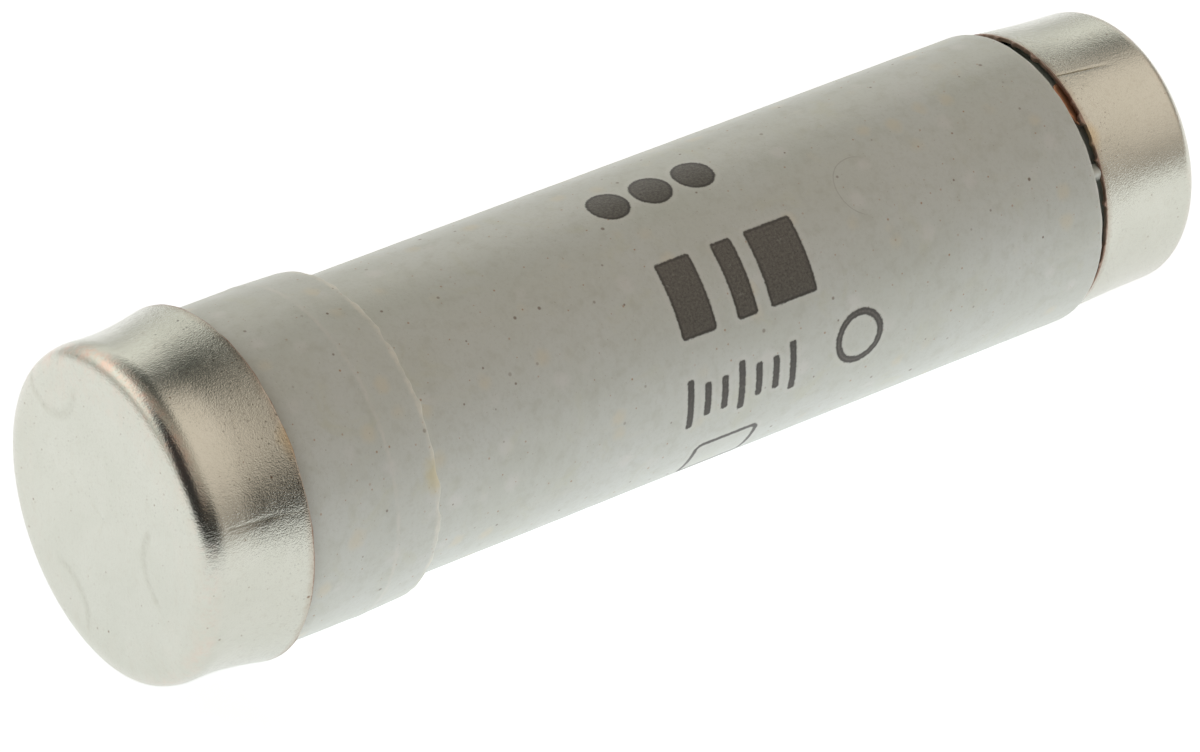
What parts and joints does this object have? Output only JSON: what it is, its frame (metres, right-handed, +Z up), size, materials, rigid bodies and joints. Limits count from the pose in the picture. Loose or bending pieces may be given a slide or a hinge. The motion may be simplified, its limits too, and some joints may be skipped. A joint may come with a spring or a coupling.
{
  "type": "cartridge fuse",
  "caption": "Bottle-type ceramic cartridge fuse link with plated foot and head contact caps, sand-filled copper fuse strips and a blown-fuse indicator.",
  "frame": {"origin": "on the surface that the fuse lies on, below the middle of its length", "axes": "+X along the fuse from the foot contact to the head contact, +Z up"},
  "size_m": [0.05, 0.0142, 0.0142],
  "materials": {
    "porcelain": "semi-matte fired porcelain, pale warm grey with fine dark specks",
    "plated_cap": "satin bright-plated drawn sheet, slightly warm",
    "copper": "bare rolled copper strip, slightly tarnished",
    "tin": "dull melted tin",
    "sand": "packed quartz grains",
    "fibre": "pressed fibre board",
    "drawn_brass": "satin drawn brass",
    "indicator_paint": "yellow enamel",
    "spring_steel": "drawn spring wire",
    "resistance_wire": "fine drawn wire"
  },
  "bodies": {
    "fuse": {"ceramic_body": "porcelain", "foot_contact_cap": "plated_cap", "head_contact_cap": "plated_cap", "fuse_element_1": "copper", "fuse_element_2": "copper", "solder_spot_1": "tin", "solder_spot_2": "tin", "quartz_sand": "sand", "foot_sealing_disc": "fibre", "head_sealing_disc": "fibre", "indicator_cup": "drawn_brass", "indicator_spring": "spring_steel", "indicator_wire_foot_half": "resistance_wire"},
    "indicator": {"indicator_button": "indicator_paint", "indicator_wire_head_half": "resistance_wire"}
  },
  "joints": [
    {"name": "indicator_slide", "type": "slide", "parent": "fuse", "child": "indicator", "axis": [1, 0, 0], "range_m": [0, 0.002], "deforming": ["indicator_spring"]}
  ]
}
